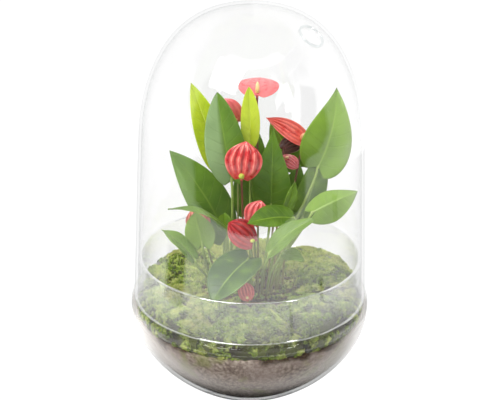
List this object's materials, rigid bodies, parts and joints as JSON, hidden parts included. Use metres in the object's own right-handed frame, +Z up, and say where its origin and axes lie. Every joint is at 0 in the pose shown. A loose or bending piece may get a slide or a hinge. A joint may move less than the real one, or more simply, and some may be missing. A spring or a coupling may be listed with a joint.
{
  "type": "glass plant terrarium",
  "caption": "Egg-shaped glass terrarium: a round bowl with soil and moss, flamingo flower plants, and a lift-off glass dome with a vent hole.",
  "frame": {"origin": "centre of the bowl's flat foot, on the surface it stands on", "axes": "+Z up; -Y is the front, the side the picture looks at; +X is the right of the picture"},
  "size_m": [0.235, 0.236, 0.398],
  "materials": {
    "glass_bowl": "clear, polished",
    "glass_dome": "clear, polished",
    "soil": "matt, crumbly",
    "moss": "matt, tufted",
    "leaf_lime": "satin leaf skin",
    "leaf_deep": "satin leaf skin",
    "leaf_mid": "satin leaf skin",
    "leaf_bright": "satin leaf skin",
    "spathe_coral": "glossy, waxy",
    "spadix_cream": "matt, beaded",
    "stalk_brown": "satin",
    "spathe_deep_red": "glossy, waxy",
    "spadix_green": "matt, beaded",
    "spathe_red": "glossy, waxy",
    "spadix_peach": "matt, beaded",
    "spathe_maroon": "glossy, waxy",
    "spathe_faded": "glossy, waxy",
    "stalk_green": "satin",
    "spathe_rust": "glossy, waxy",
    "spathe_crimson": "glossy, waxy",
    "spathe_pink": "glossy, waxy",
    "spathe_young": "glossy, waxy"
  },
  "bodies": {
    "root": {"glass_bowl": "glass_bowl", "glass_dome": "glass_dome", "soil": "soil", "moss_front": "moss", "moss_front_right": "moss", "moss_right": "moss", "moss_back": "moss", "moss_back_left": "moss", "moss_front_left": "moss", "leaf_lime_left": "leaf_lime", "leaf_tall_left": "leaf_deep", "leaf_broad_left": "leaf_deep", "leaf_turned_left": "leaf_mid", "leaf_arching_left": "leaf_mid", "leaf_low_left": "leaf_mid", "leaf_young_left": "leaf_bright", "leaf_front": "leaf_mid", "leaf_centre": "leaf_deep", "leaf_lime_centre": "leaf_lime", "leaf_shade_centre": "leaf_deep", "leaf_bright_back": "leaf_bright", "leaf_tall_right": "leaf_mid", "leaf_pale_right": "leaf_mid", "leaf_shade_right": "leaf_deep", "leaf_narrow_right": "leaf_bright", "leaf_reaching_right": "leaf_mid", "leaf_bright_front": "leaf_bright", "leaf_low_right": "leaf_bright", "leaf_small_front": "leaf_mid", "flower_top_spathe": "spathe_coral", "flower_top_spadix": "spadix_cream", "flower_top_stalk": "stalk_brown", "flower_front_spathe": "spathe_deep_red", "flower_front_spadix": "spadix_green", "flower_front_stalk": "stalk_brown", "flower_right_spathe": "spathe_red", "flower_right_spadix": "spadix_peach", "flower_right_stalk": "stalk_brown", "flower_turned_right_spathe": "spathe_maroon", "flower_turned_right_spadix": "spadix_peach", "flower_turned_right_stalk": "stalk_brown", "flower_hanging_right_spathe": "spathe_faded", "flower_hanging_right_spadix": "spadix_peach", "flower_hanging_right_stalk": "stalk_brown", "flower_left_spathe": "spathe_coral", "flower_left_spadix": "spadix_peach", "flower_left_stalk": "stalk_green", "flower_low_left_spathe": "spathe_rust", "flower_low_left_spadix": "spadix_peach", "flower_low_left_stalk": "stalk_green", "flower_dark_front_spathe": "spathe_crimson", "flower_dark_front_spadix": "spadix_green", "flower_dark_front_stalk": "stalk_green", "flower_round_front_spathe": "spathe_pink", "flower_round_front_spadix": "spadix_cream", "flower_round_front_stalk": "stalk_green", "flower_small_low_spathe": "spathe_young", "flower_small_low_spadix": "spadix_cream", "flower_small_low_stalk": "stalk_green"}
  },
  "joints": []
}
